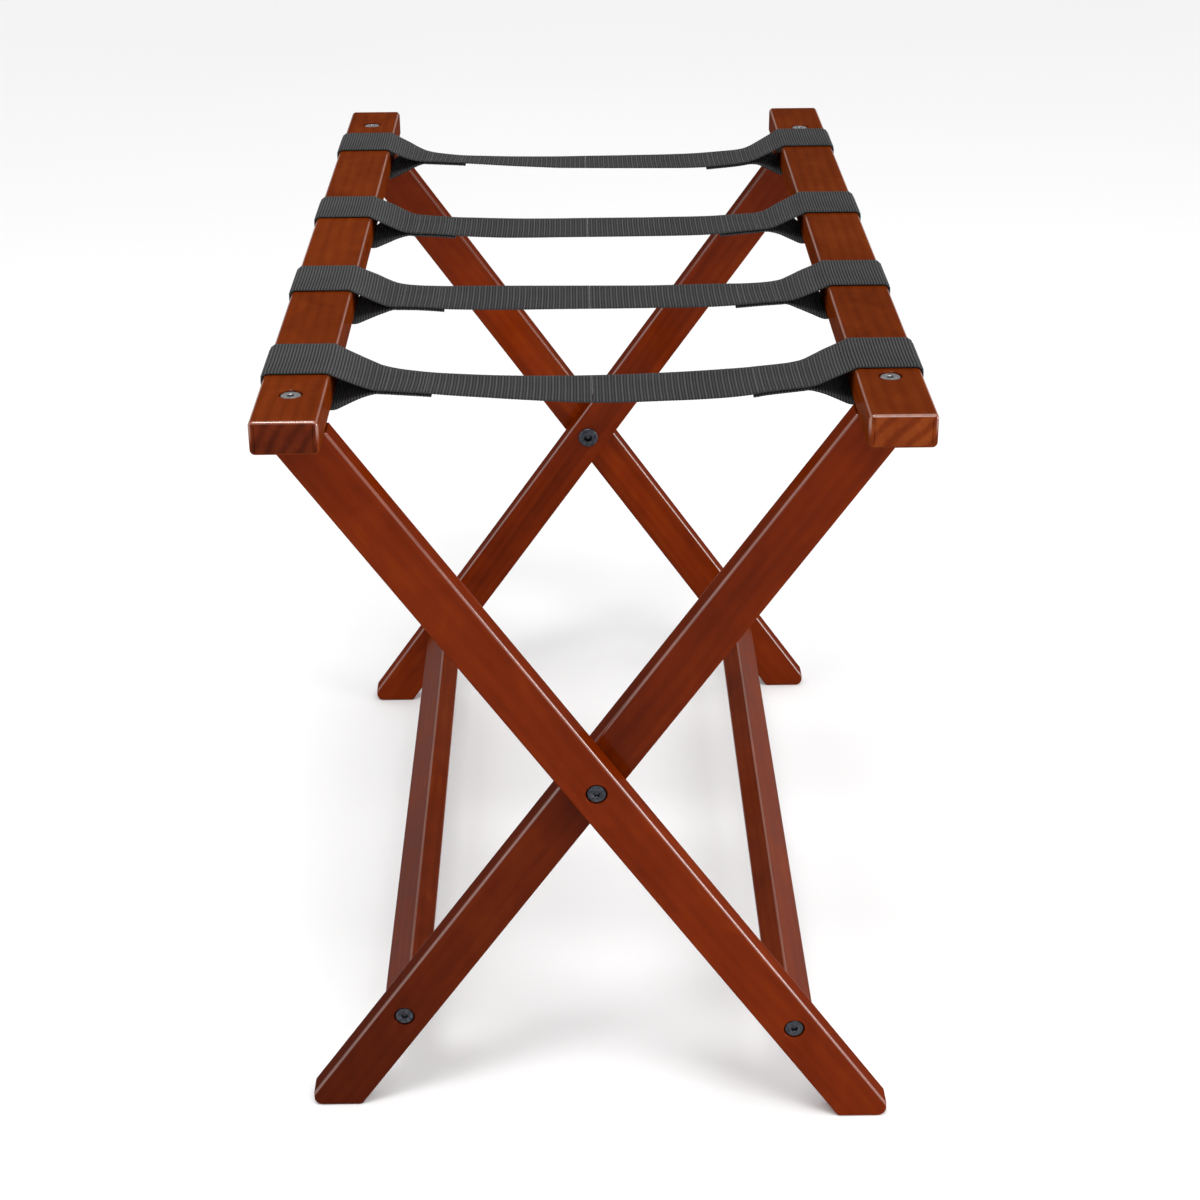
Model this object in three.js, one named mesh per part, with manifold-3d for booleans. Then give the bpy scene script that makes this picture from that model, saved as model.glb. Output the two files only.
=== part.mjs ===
// Folding luggage rack: two crossed wooden frames, four webbing straps, bolted joints.
// Millimetres, +Z up. X runs across the rack, Y runs along its rails.
// The origin is the centre of the footprint on the floor.
import * as THREE from 'three';
import * as BufferGeometryUtils from 'three/addons/utils/BufferGeometryUtils.js';
import Module from 'manifold-3d';

const wasm = await Module();
wasm.setup();

// ---- overall sizes
const RAIL_TOP_Z = 508;
const RAIL_LENGTH = 680;
const RAIL_WIDTH = 38.5;
const RAIL_THICKNESS = 20;
const RAIL_CENTRE_X = 169.75;
const RAIL_CORNER = 3;
const RAIL_END_EASE = 1.6;
const FIT = 0.3;

// ---- legs
const LEG_WIDTH = 31.5;
const LEG_THICKNESS = 17;
const OUTER_FACE_Y = 306.5;
const FRAME_GAP = 2;
const FOOT_CENTRE_X = 176.5;
const TOE_CUT = 7;
const TOE_RADIUS = 5.5;

// ---- stretchers
const STRETCHER_UP_LEG = 87;
const STRETCHER_WIDTH = 31.5;
const STRETCHER_THICKNESS = 17;
const STRETCHER_CORNER = 2;

// ---- fasteners, M6 with 4 mm hex sockets
const SHANK_R = 3;
const SHANK_HOLE_R = 3.3;
const HEAD_R = 6;
const HEAD_HEIGHT = 4;
const HEAD_EASE = 0.5;
const HEAD_SUNK = 0.7;
const SOCKET_ACROSS_FLATS = 4;
const SOCKET_DEPTH = 2.5;
const COUNTERBORE_R = 6.75;
const RAIL_BOLT_LENGTH = 30;
const FRAME_BOLT_LENGTH = 30;
const INSERT_R = 5;
const INSERT_HOLE_R = 5.3;
const INSERT_LENGTH = 12;
const INSERT_SUNK = 1;
const WASHER_R = 9;
const PIVOT_BOLT_LENGTH = 29.5;
const PIVOT_NUT_R = 4.6;
const PIVOT_NUT_HOLE_R = 4.9;
const PIVOT_NUT_LENGTH = 11;
const PIVOT_NUT_FLANGE_R = 8;
const PIVOT_NUT_FLANGE = 1.4;

// ---- webbing
const WEB_WIDTH = 50;
const WEB_THICKNESS = 1.5;
const WEB_CENTRES_Y = [-243.5, -94, 66, 243];
const LAP_END = 58;
const PINCH = 25;
// middle of the upper layer, as [distance inboard of the rail, height above the rail top]
const UPPER_LAYER = [
  [-2.7, 1.05], [-0.6, 0.6], [1.5, -0.7], [12, -5.6], [PINCH, -9.9], [34, -11.8],
  [46, -13.1], [LAP_END, -14], [80, -15.2], [115, -16.2],
];
const MIDDLE_SAG = -16.6;
// middle of the lower layer, from below the rail to where it meets the upper one
const LOWER_LAYER = [[-2.7, -21.05], [-0.4, -20.4], [2, -19.2], [12, -15.2], [20, -12.6]];

const RAIL_BOTTOM_Z = RAIL_TOP_Z - RAIL_THICKNESS;
const RAIL_INNER_X = RAIL_CENTRE_X - RAIL_WIDTH / 2;
const LEAN = Math.atan2(RAIL_CENTRE_X + FOOT_CENTRE_X, RAIL_BOTTOM_Z);
const HALF_CUT = LEG_WIDTH / 2 / Math.cos(LEAN);
const PIVOT_Z = RAIL_BOTTOM_Z * FOOT_CENTRE_X / (RAIL_CENTRE_X + FOOT_CENTRE_X);
const STRETCHER_X = FOOT_CENTRE_X - STRETCHER_UP_LEG * Math.sin(LEAN);
const STRETCHER_Z = STRETCHER_UP_LEG * Math.cos(LEAN);
const INNER_FACE_Y = OUTER_FACE_Y - LEG_THICKNESS - FRAME_GAP;
const RAIL_BOLT_Y = { outer: OUTER_FACE_Y - LEG_THICKNESS / 2, inner: INNER_FACE_Y - LEG_THICKNESS / 2 };

const finishes = {
  rail: new THREE.MeshStandardMaterial({ color: 0x70301c, roughness: 0.35, metalness: 0 }),
  leg: new THREE.MeshStandardMaterial({ color: 0x7a3012, roughness: 0.38, metalness: 0 }),
  stretcher: new THREE.MeshStandardMaterial({ color: 0x5a2210, roughness: 0.4, metalness: 0 }),
  webbing: new THREE.MeshStandardMaterial({ color: 0x3e3e3f, roughness: 0.9, metalness: 0 }),
  black_steel: new THREE.MeshStandardMaterial({ color: 0x17181b, roughness: 0.35, metalness: 0.9 }),
  bright_steel: new THREE.MeshStandardMaterial({ color: 0xb8b9ba, roughness: 0.3, metalness: 1 }),
  brass: new THREE.MeshStandardMaterial({ color: 0xb08d4a, roughness: 0.4, metalness: 1 }),
  nylon: new THREE.MeshStandardMaterial({ color: 0xd8d4c8, roughness: 0.6, metalness: 0 }),
};

// ---- geometry helpers

// A geometry with only merged positions and no collapsed triangles.
function welded(geometry) {
  const bare = geometry.clone();
  for (const name of Object.keys(bare.attributes)) {
    if (name !== 'position') {
      bare.deleteAttribute(name);
    }
  }
  const merged = BufferGeometryUtils.mergeVertices(bare, 1e-4);
  const kept = [];
  const index = merged.index.array;
  for (let i = 0; i < index.length; i += 3) {
    const [a, b, c] = [index[i], index[i + 1], index[i + 2]];
    if (a !== b && b !== c && c !== a) {
      kept.push(a, b, c);
    }
  }
  merged.setIndex(kept);
  return merged;
}

function toSolid(geometry) {
  const g = welded(geometry);
  return new wasm.Manifold(new wasm.Mesh({
    numProp: 3,
    vertProperties: new Float32Array(g.attributes.position.array),
    triVerts: new Uint32Array(g.index.array),
  }));
}

function toGeometry(solid) {
  const mesh = solid.getMesh();
  const g = new THREE.BufferGeometry();
  g.setAttribute('position', new THREE.BufferAttribute(new Float32Array(mesh.vertProperties), 3));
  g.setIndex(Array.from(mesh.triVerts));
  return g;
}

function cut(base, tools) {
  let solid = toSolid(base);
  for (const tool of tools) {
    solid = solid.subtract(toSolid(tool));
  }
  return toGeometry(solid);
}

// A profile drawn in X and Z, extruded from y0 to y1, with its end edges eased by `ease`.
function slab(points, y0, y1, ease = 0) {
  const shape = new THREE.Shape(points.map(([x, z]) => new THREE.Vector2(x, z)));
  const g = new THREE.ExtrudeGeometry(shape, {
    depth: y1 - y0 - 2 * ease,
    bevelEnabled: ease > 0,
    bevelThickness: ease,
    bevelSize: ease,
    bevelOffset: -ease,
    bevelSegments: 2,
    steps: 1,
  });
  g.rotateX(Math.PI / 2);
  g.translate(0, y1 - ease, 0);
  return g;
}

// A closed cylinder along Y from y0 to y1.
function rod(radius, y0, y1, x, z, segments = 20) {
  const g = new THREE.CylinderGeometry(radius, radius, y1 - y0, segments);
  g.translate(x, (y0 + y1) / 2, z);
  return g;
}

// A closed cylinder along Z from z0 to z1.
function post(radius, z0, z1, x, y, segments = 20) {
  const g = new THREE.CylinderGeometry(radius, radius, z1 - z0, segments);
  g.rotateX(Math.PI / 2);
  g.translate(x, y, (z0 + z1) / 2);
  return g;
}

// Points round a rectangle with rounded corners, turned by `turn`, centred on (cx, cz).
function roundedBox(cx, cz, width, height, radius, turn = 0, steps = 4) {
  const points = [];
  const centres = [[1, 1], [-1, 1], [-1, -1], [1, -1]];
  centres.forEach(([sx, sz], quarter) => {
    for (let k = 0; k <= steps; k += 1) {
      const a = (quarter + k / steps) * Math.PI / 2;
      const x = sx * (width / 2 - radius) + radius * Math.cos(a);
      const z = sz * (height / 2 - radius) + radius * Math.sin(a);
      points.push([
        cx + x * Math.cos(turn) - z * Math.sin(turn),
        cz + x * Math.sin(turn) + z * Math.cos(turn),
      ]);
    }
  });
  return points;
}

// An open path moved sideways by `distance`, to the left of its direction.
function offsetPath(path, distance) {
  return path.map((p, i) => {
    const a = path[Math.max(i - 1, 0)];
    const b = path[Math.min(i + 1, path.length - 1)];
    const first = Math.hypot(p[0] - a[0], p[1] - a[1]) || 1;
    const second = Math.hypot(b[0] - p[0], b[1] - p[1]) || 1;
    let tx = (p[0] - a[0]) / first + (b[0] - p[0]) / second;
    let tz = (p[1] - a[1]) / first + (b[1] - p[1]) / second;
    const length = Math.hypot(tx, tz);
    tx /= length;
    tz /= length;
    return [p[0] - tz * distance, p[1] + tx * distance];
  });
}

function mirrored(points) {
  return points.map(([x, z]) => [-x, z]).reverse();
}

function named(name, geometry, finish) {
  const mesh = new THREE.Mesh(welded(geometry), finish);
  mesh.name = name;
  return mesh;
}

// ---- wooden parts

// One top rail, drilled and counterbored for its two bolts.
function rail(name, side, boltY) {
  const x = side * RAIL_CENTRE_X;
  const z = RAIL_TOP_Z - RAIL_THICKNESS / 2;
  const body = slab(
    roundedBox(x, z, RAIL_WIDTH, RAIL_THICKNESS, RAIL_CORNER),
    -RAIL_LENGTH / 2,
    RAIL_LENGTH / 2,
    RAIL_END_EASE,
  );
  const floor = RAIL_TOP_Z - HEAD_SUNK - HEAD_HEIGHT - FIT;
  const tools = [-boltY, boltY].flatMap((y) => [
    post(COUNTERBORE_R, floor, RAIL_TOP_Z + 5, x, y),
    post(SHANK_HOLE_R, RAIL_BOTTOM_Z - 5, RAIL_TOP_Z, x, y),
  ]);
  return named(name, cut(body, tools), finishes.rail);
}

// Outline of a leg that leans from the rail on the left to the foot on the right.
function legOutline() {
  const top = RAIL_BOTTOM_Z - FIT;
  const slope = (RAIL_CENTRE_X + FOOT_CENTRE_X) / RAIL_BOTTOM_Z;
  const centre = (z) => FOOT_CENTRE_X - slope * z;
  const toeX = FOOT_CENTRE_X + HALF_CUT - TOE_CUT;
  const toeZ = TOE_CUT / slope;
  const outline = [[centre(top) - HALF_CUT, top], [FOOT_CENTRE_X - HALF_CUT, 0]];
  for (let k = 0; k <= 5; k += 1) {
    const a = -Math.PI / 2 + (k / 5) * Math.PI / 2;
    outline.push([
      toeX - TOE_RADIUS + TOE_RADIUS * Math.cos(a),
      TOE_RADIUS + TOE_RADIUS * Math.sin(a),
    ]);
  }
  outline.push([toeX, toeZ], [centre(top) + HALF_CUT, top]);
  return outline;
}

// One leg. `lean` is 1 for a leg whose foot is on the right, -1 for one whose foot is on the left.
function leg(name, lean, end, faceY) {
  const far = end * faceY;
  const near = end * (faceY - LEG_THICKNESS);
  const [y0, y1] = [Math.min(far, near), Math.max(far, near)];
  const outline = lean > 0 ? legOutline() : mirrored(legOutline());
  const body = slab(outline, y0, y1);
  const railX = -lean * RAIL_CENTRE_X;
  const boreBottom = RAIL_BOTTOM_Z - INSERT_SUNK - INSERT_LENGTH - FIT;
  const shankEnd = RAIL_TOP_Z - HEAD_SUNK - HEAD_HEIGHT - RAIL_BOLT_LENGTH - 1.5;
  const middleY = (y0 + y1) / 2;
  const tools = [
    post(INSERT_HOLE_R, boreBottom, RAIL_BOTTOM_Z + 5, railX, middleY),
    post(SHANK_HOLE_R, shankEnd, RAIL_BOTTOM_Z, railX, middleY),
    rod(SHANK_HOLE_R, y0 - 5, y1 + 5, lean * STRETCHER_X, STRETCHER_Z),
  ];
  const sinkTo = faceY - HEAD_SUNK - HEAD_HEIGHT - FIT;
  const sink = end > 0 ? [sinkTo, faceY + 1] : [-faceY - 1, -sinkTo];
  tools.push(rod(COUNTERBORE_R, sink[0], sink[1], lean * STRETCHER_X, STRETCHER_Z));
  if (lean > 0) {
    tools.push(rod(COUNTERBORE_R, sink[0], sink[1], 0, PIVOT_Z));
    tools.push(rod(SHANK_HOLE_R, y0 - 5, y1 + 5, 0, PIVOT_Z));
  } else {
    tools.push(rod(PIVOT_NUT_HOLE_R, y0 - 5, y1 + 5, 0, PIVOT_Z));
  }
  return named(name, cut(body, tools), finishes.leg);
}

// One lower stretcher between the two legs of a frame, bored at each end for its insert.
function stretcher(name, side, innerFaceY) {
  const end = innerFaceY - FIT;
  const turn = side > 0 ? Math.PI / 2 + LEAN : Math.PI / 2 - LEAN;
  const outline = roundedBox(
    side * STRETCHER_X,
    STRETCHER_Z,
    STRETCHER_WIDTH,
    STRETCHER_THICKNESS,
    STRETCHER_CORNER,
    turn,
    3,
  );
  const body = slab(outline, -end, end);
  const bore = INSERT_SUNK + INSERT_LENGTH + FIT;
  const deep = 22;
  const tools = [-1, 1].flatMap((s) => {
    const a = s * (end - bore);
    const b = s * (end + 5);
    const c = s * (end - deep);
    return [
      rod(INSERT_HOLE_R, Math.min(a, b), Math.max(a, b), side * STRETCHER_X, STRETCHER_Z),
      rod(SHANK_HOLE_R, Math.min(c, b), Math.max(c, b), side * STRETCHER_X, STRETCHER_Z),
    ];
  });
  return named(name, cut(body, tools), finishes.stretcher);
}

// ---- fasteners

// A socket-head bolt standing on the origin: its head's top is at z = 0 and its shank points down.
function boltGeometry(length) {
  const profile = [
    [0, 0], [HEAD_R - HEAD_EASE, 0], [HEAD_R, -HEAD_EASE], [HEAD_R, -HEAD_HEIGHT],
    [SHANK_R, -HEAD_HEIGHT], [SHANK_R, -HEAD_HEIGHT - length + 0.6],
    [SHANK_R - 0.6, -HEAD_HEIGHT - length], [0, -HEAD_HEIGHT - length],
  ];
  const turned = new THREE.LatheGeometry(
    profile.reverse().map(([r, z]) => new THREE.Vector2(r, z)),
    20,
  );
  turned.rotateX(Math.PI / 2);
  const socketR = SOCKET_ACROSS_FLATS / 2 / Math.cos(Math.PI / 6);
  return cut(turned, [post(socketR, -SOCKET_DEPTH, 1, 0, 0, 6)]);
}

function railBolt(name, side, y) {
  const mesh = named(name, boltGeometry(RAIL_BOLT_LENGTH), finishes.bright_steel);
  mesh.position.set(side * RAIL_CENTRE_X, y, RAIL_TOP_Z - HEAD_SUNK);
  return mesh;
}

// A bolt driven along Y from the face at `faceY` on the given end of the rack.
function frameBolt(name, x, z, end, faceY, length) {
  const mesh = named(name, boltGeometry(length), finishes.black_steel);
  mesh.position.set(x, end * (faceY - HEAD_SUNK), z);
  mesh.rotation.x = end > 0 ? -Math.PI / 2 : Math.PI / 2;
  return mesh;
}

// A threaded insert: a sleeve along Z from z = 0 down, open at both ends.
function insertGeometry() {
  const profile = [
    [SHANK_HOLE_R, 0], [SHANK_HOLE_R, -INSERT_LENGTH], [INSERT_R - 0.4, -INSERT_LENGTH],
    [INSERT_R, -INSERT_LENGTH + 0.4], [INSERT_R, 0], [SHANK_HOLE_R, 0],
  ];
  const g = new THREE.LatheGeometry(profile.map(([r, z]) => new THREE.Vector2(r, z)), 20);
  g.rotateX(Math.PI / 2);
  return g;
}

function legInsert(name, side, y) {
  const mesh = named(name, insertGeometry(), finishes.brass);
  mesh.position.set(side * RAIL_CENTRE_X, y, RAIL_BOTTOM_Z - INSERT_SUNK);
  return mesh;
}

function stretcherInsert(name, side, end, innerFaceY) {
  const mesh = named(name, insertGeometry(), finishes.brass);
  mesh.position.set(side * STRETCHER_X, end * (innerFaceY - FIT - INSERT_SUNK), STRETCHER_Z);
  mesh.rotation.x = end > 0 ? -Math.PI / 2 : Math.PI / 2;
  return mesh;
}

// A flanged barrel nut in the inner leg, whose flange lies on the leg's inside face.
function pivotNut(name, end) {
  const face = INNER_FACE_Y - LEG_THICKNESS;
  const profile = [
    [SHANK_HOLE_R, 0], [SHANK_HOLE_R, -PIVOT_NUT_FLANGE - PIVOT_NUT_LENGTH],
    [PIVOT_NUT_R, -PIVOT_NUT_FLANGE - PIVOT_NUT_LENGTH], [PIVOT_NUT_R, -PIVOT_NUT_FLANGE],
    [PIVOT_NUT_FLANGE_R, -PIVOT_NUT_FLANGE], [PIVOT_NUT_FLANGE_R, -0.4],
    [PIVOT_NUT_FLANGE_R - 0.4, 0], [SHANK_HOLE_R, 0],
  ];
  const g = new THREE.LatheGeometry(profile.map(([r, z]) => new THREE.Vector2(r, z)), 20);
  g.rotateX(Math.PI / 2);
  const mesh = named(name, g, finishes.black_steel);
  mesh.position.set(0, end * (face - FIT - PIVOT_NUT_FLANGE), PIVOT_Z);
  mesh.rotation.x = end > 0 ? Math.PI / 2 : -Math.PI / 2;
  return mesh;
}

// The nylon washer that keeps the two frames apart at a pivot.
function pivotWasher(name, end) {
  const a = INNER_FACE_Y + FIT;
  const b = OUTER_FACE_Y - LEG_THICKNESS - FIT;
  const profile = [
    [SHANK_HOLE_R, a], [WASHER_R, a], [WASHER_R, b], [SHANK_HOLE_R, b], [SHANK_HOLE_R, a],
  ];
  const g = new THREE.LatheGeometry(profile.map(([r, y]) => new THREE.Vector2(r, y)), 20);
  if (end < 0) {
    g.rotateX(Math.PI);
  }
  const mesh = named(name, g, finishes.nylon);
  mesh.position.set(0, 0, PIVOT_Z);
  return mesh;
}

// ---- webbing

// The end loop of a strap: over the rail, down its outer side and back under it.
function wrapOutline() {
  const z = RAIL_TOP_Z - RAIL_THICKNESS / 2;
  const inner = RAIL_INNER_X + RAIL_CORNER;
  const path = (grow) => {
    const w = RAIL_WIDTH + 2 * grow;
    const h = RAIL_THICKNESS + 2 * grow;
    const all = roundedBox(RAIL_CENTRE_X, z, w, h, RAIL_CORNER + grow, 0, 5);
    const outside = all.filter(([x]) => x > RAIL_CENTRE_X);
    const lower = outside.filter(([, pz]) => pz < z);
    const upper = outside.filter(([, pz]) => pz >= z);
    return [[inner, z - h / 2], ...lower, ...upper, [inner, z + h / 2]];
  };
  return [...path(FIT + WEB_THICKNESS), ...path(FIT).reverse()];
}

// Half a strap, from the rail's inner edge to mid-span, with the sewn lap below it.
function runOutline() {
  const at = ([s, h]) => [RAIL_INNER_X - s, RAIL_TOP_Z + h];
  const half = WEB_THICKNESS / 2;
  const span = RAIL_INNER_X - FIT / 2;
  const upper = [...UPPER_LAYER, [span, MIDDLE_SAG]];
  const pinchAt = UPPER_LAYER.findIndex(([s]) => s === PINCH);
  const lapAt = UPPER_LAYER.findIndex(([s]) => s === LAP_END);
  const top = offsetPath(upper, half);
  const under = offsetPath(upper, -half);
  const lap = offsetPath(upper, -half - WEB_THICKNESS).slice(pinchAt, lapAt + 1);
  const lower = LOWER_LAYER;
  const joined = [...lower, [PINCH, UPPER_LAYER[pinchAt][1] - WEB_THICKNESS]];
  const lowerTop = offsetPath(joined, half).slice(0, lower.length);
  const lowerUnder = offsetPath(joined, -half).slice(0, lower.length);
  return [
    ...top,
    ...under.slice(lapAt).reverse(),
    ...lap.reverse(),
    ...lowerUnder.reverse(),
    ...lowerTop,
    ...under.slice(0, pinchAt + 1).reverse(),
  ].map(at);
}

function webbing(name, outline, side, y) {
  const points = side > 0 ? outline : mirrored(outline);
  const g = slab(points, y - WEB_WIDTH / 2, y + WEB_WIDTH / 2);
  return named(name, g, finishes.webbing);
}

// ---- assembly

const rack = new THREE.Group();

// The outer frame carries the left rail, and its feet stand on the right.
const outerFrame = new THREE.Group();
outerFrame.add(rail('left_rail', -1, RAIL_BOLT_Y.outer));
outerFrame.add(stretcher('right_stretcher', 1, OUTER_FACE_Y - LEG_THICKNESS));

// The inner frame carries the right rail, and its feet stand on the left.
const innerFrame = new THREE.Group();
innerFrame.add(rail('right_rail', 1, RAIL_BOLT_Y.inner));
innerFrame.add(stretcher('left_stretcher', -1, INNER_FACE_Y - LEG_THICKNESS));

for (const [word, end] of [['front', -1], ['rear', 1]]) {
  outerFrame.add(leg(`outer_leg_${word}`, 1, end, OUTER_FACE_Y));
  outerFrame.add(railBolt(`left_rail_bolt_${word}`, -1, end * RAIL_BOLT_Y.outer));
  outerFrame.add(legInsert(`left_rail_insert_${word}`, -1, end * RAIL_BOLT_Y.outer));
  outerFrame.add(frameBolt(
    `right_stretcher_bolt_${word}`, STRETCHER_X, STRETCHER_Z, end, OUTER_FACE_Y, FRAME_BOLT_LENGTH,
  ));
  outerFrame.add(stretcherInsert(
    `right_stretcher_insert_${word}`, 1, end, OUTER_FACE_Y - LEG_THICKNESS,
  ));
  outerFrame.add(frameBolt(`pivot_bolt_${word}`, 0, PIVOT_Z, end, OUTER_FACE_Y, PIVOT_BOLT_LENGTH));
  outerFrame.add(pivotWasher(`pivot_washer_${word}`, end));

  innerFrame.add(leg(`inner_leg_${word}`, -1, end, INNER_FACE_Y));
  innerFrame.add(railBolt(`right_rail_bolt_${word}`, 1, end * RAIL_BOLT_Y.inner));
  innerFrame.add(legInsert(`right_rail_insert_${word}`, 1, end * RAIL_BOLT_Y.inner));
  innerFrame.add(frameBolt(
    `left_stretcher_bolt_${word}`, -STRETCHER_X, STRETCHER_Z, end, INNER_FACE_Y, FRAME_BOLT_LENGTH,
  ));
  innerFrame.add(stretcherInsert(
    `left_stretcher_insert_${word}`, -1, end, INNER_FACE_Y - LEG_THICKNESS,
  ));
  innerFrame.add(pivotNut(`pivot_nut_${word}`, end));
}

// The straps, numbered from the front.
const straps = new THREE.Group();
WEB_CENTRES_Y.forEach((y, i) => {
  for (const [word, side] of [['left', -1], ['right', 1]]) {
    straps.add(webbing(`strap${i + 1}_${word}_loop`, wrapOutline(), side, y));
    straps.add(webbing(`strap${i + 1}_${word}_run`, runOutline(), side, y));
  }
});

rack.add(outerFrame, innerFrame, straps);

export default rack;
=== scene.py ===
import math

import bmesh
import bpy
import numpy as np
from mathutils import Euler, Matrix, Vector


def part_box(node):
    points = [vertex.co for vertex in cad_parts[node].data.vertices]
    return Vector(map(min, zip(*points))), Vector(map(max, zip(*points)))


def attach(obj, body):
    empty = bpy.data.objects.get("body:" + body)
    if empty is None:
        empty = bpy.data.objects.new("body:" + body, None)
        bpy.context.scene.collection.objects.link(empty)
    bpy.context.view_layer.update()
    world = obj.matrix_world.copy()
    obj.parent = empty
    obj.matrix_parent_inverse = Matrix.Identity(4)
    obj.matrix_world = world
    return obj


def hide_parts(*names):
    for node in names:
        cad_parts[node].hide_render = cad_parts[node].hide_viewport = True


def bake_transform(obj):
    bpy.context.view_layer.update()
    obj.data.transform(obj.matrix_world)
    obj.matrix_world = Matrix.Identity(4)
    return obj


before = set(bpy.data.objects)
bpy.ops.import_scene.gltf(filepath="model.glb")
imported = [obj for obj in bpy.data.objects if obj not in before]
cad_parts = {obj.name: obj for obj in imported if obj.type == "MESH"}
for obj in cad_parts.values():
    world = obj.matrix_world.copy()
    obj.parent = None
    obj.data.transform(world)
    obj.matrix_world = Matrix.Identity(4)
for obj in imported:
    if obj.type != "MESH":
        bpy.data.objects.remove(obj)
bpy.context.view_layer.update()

# ---------------------------------------------------------------- sizes, in metres
MM = 0.001
RAIL_LO, RAIL_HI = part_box("right_rail")
RAIL_INNER, RAIL_OUTER = RAIL_LO.x, RAIL_HI.x
RAIL_MID = (RAIL_INNER + RAIL_OUTER) / 2
RAIL_TOP, RAIL_BOTTOM = RAIL_HI.z, RAIL_LO.z
RAIL_END = RAIL_HI.y
OUTER_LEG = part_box("outer_leg_rear")
INNER_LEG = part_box("inner_leg_rear")
FOOT_MID = 176.5 * MM
LEG_WIDTH, LEG_THICKNESS = 31.5 * MM, 17 * MM
LEAN = math.atan2(RAIL_MID + FOOT_MID, RAIL_BOTTOM)
PIVOT_Z = RAIL_BOTTOM * FOOT_MID / (RAIL_MID + FOOT_MID)
UP_LEG = 87 * MM  # from the foot to the stretcher's middle, along the leg
STRETCHER = Vector((FOOT_MID - UP_LEG * math.sin(LEAN), 0, UP_LEG * math.cos(LEAN)))
FIT = 0.3 * MM  # clearance between touching parts

# edge rounding: along a member, and round its ends
RAIL_CORNER, RAIL_END_ROUND = 3 * MM, 1.8 * MM
STRETCHER_CORNER, STRETCHER_END_ROUND = 2.2 * MM, 0.5 * MM
LEG_ROUND = 1.5 * MM

# bolts, sunk a little below the wood in counterbores
HEAD_R, HEAD_H = 6.0 * MM, 4.0 * MM
SOCKET_R = 2.0 * MM
SUNK = 0.7 * MM
SHANK_R = 3.0 * MM
BORE_R = 6.75 * MM
BORE_DEPTH = SUNK + HEAD_H + FIT
BOLT_LENGTH, PIVOT_BOLT_LENGTH = 30 * MM, 29.5 * MM
THROUGH = 30 * MM  # how deep a cutter goes to pass right through a member

# threaded inserts, pivot washers and pivot nuts
THREAD_BORE_R = 3.3 * MM
INSERT_R, INSERT_LENGTH, INSERT_SUNK = 5.0 * MM, 12 * MM, 1 * MM
INSERT_HOLE_R, INSERT_HOLE_DEPTH = 5.3 * MM, 13.3 * MM
WASHER_R, WASHER_CHAMFER = 9 * MM, 0.2 * MM
NUT_R, NUT_HOLE_R, NUT_BARREL = 4.6 * MM, 4.9 * MM, 11 * MM
NUT_FLANGE_R, NUT_FLANGE_T = 8 * MM, 1.4 * MM

WEB_T, WEB_W = 1.5 * MM, 50 * MM
RIB = 1.86 * MM  # from one rib of the webbing to the next


# ---------------------------------------------------------------- mesh helpers
def new_object(name, verts, faces):
    mesh = bpy.data.meshes.new(name)
    mesh.from_pydata([tuple(v) for v in verts], [], faces)
    mesh.update()
    obj = bpy.data.objects.new(name, mesh)
    bpy.context.scene.collection.objects.link(obj)
    return obj


def grid_faces(rows, cols, closed):
    """Quads of a grid of rings: `rows` rings of `cols` points, each ring closed or open."""
    last = cols if closed else cols - 1
    i, j = np.meshgrid(np.arange(rows - 1), np.arange(last), indexing="ij")
    a = i * cols + j
    b = i * cols + (j + 1) % cols
    return np.stack([a, b, b + cols, a + cols], -1).reshape(-1, 4)


def set_attribute(obj, name, values, kind="FLOAT_VECTOR"):
    attribute = obj.data.attributes.new(name, kind, "POINT")
    key = "vector" if kind == "FLOAT_VECTOR" else "value"
    attribute.data.foreach_set(key, np.asarray(values, np.float32).ravel())


def coords(obj):
    co = np.zeros(len(obj.data.vertices) * 3, np.float32)
    obj.data.vertices.foreach_get("co", co)
    return co.reshape(-1, 3).astype(float)


def shade(obj, angle=32):
    """Smooth shading with the edges sharper than `angle` degrees kept crisp."""
    bm = bmesh.new()
    bm.from_mesh(obj.data)
    for f in bm.faces:
        f.smooth = True
    limit = math.radians(angle)
    for e in bm.edges:
        e.smooth = len(e.link_faces) == 2 and e.calc_face_angle(0) < limit
    bm.to_mesh(obj.data)
    bm.free()


def weighted(obj):
    m = obj.modifiers.new("weighted", "WEIGHTED_NORMAL")
    m.keep_sharp = True
    m.weight = 80


def inset(outline, d):
    """A convex outline, anticlockwise, moved inwards by d."""
    p = np.asarray(outline, float)
    a = p - np.roll(p, 1, 0)
    b = np.roll(p, -1, 0) - p
    a /= np.linalg.norm(a, axis=1)[:, None]
    b /= np.linalg.norm(b, axis=1)[:, None]
    na = np.stack([-a[:, 1], a[:, 0]], 1)
    nb = np.stack([-b[:, 1], b[:, 0]], 1)
    m = na + nb
    m /= np.linalg.norm(m, axis=1)[:, None]
    return p + m * (d / np.clip((m * na).sum(1), 0.3, 1))[:, None]


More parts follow.
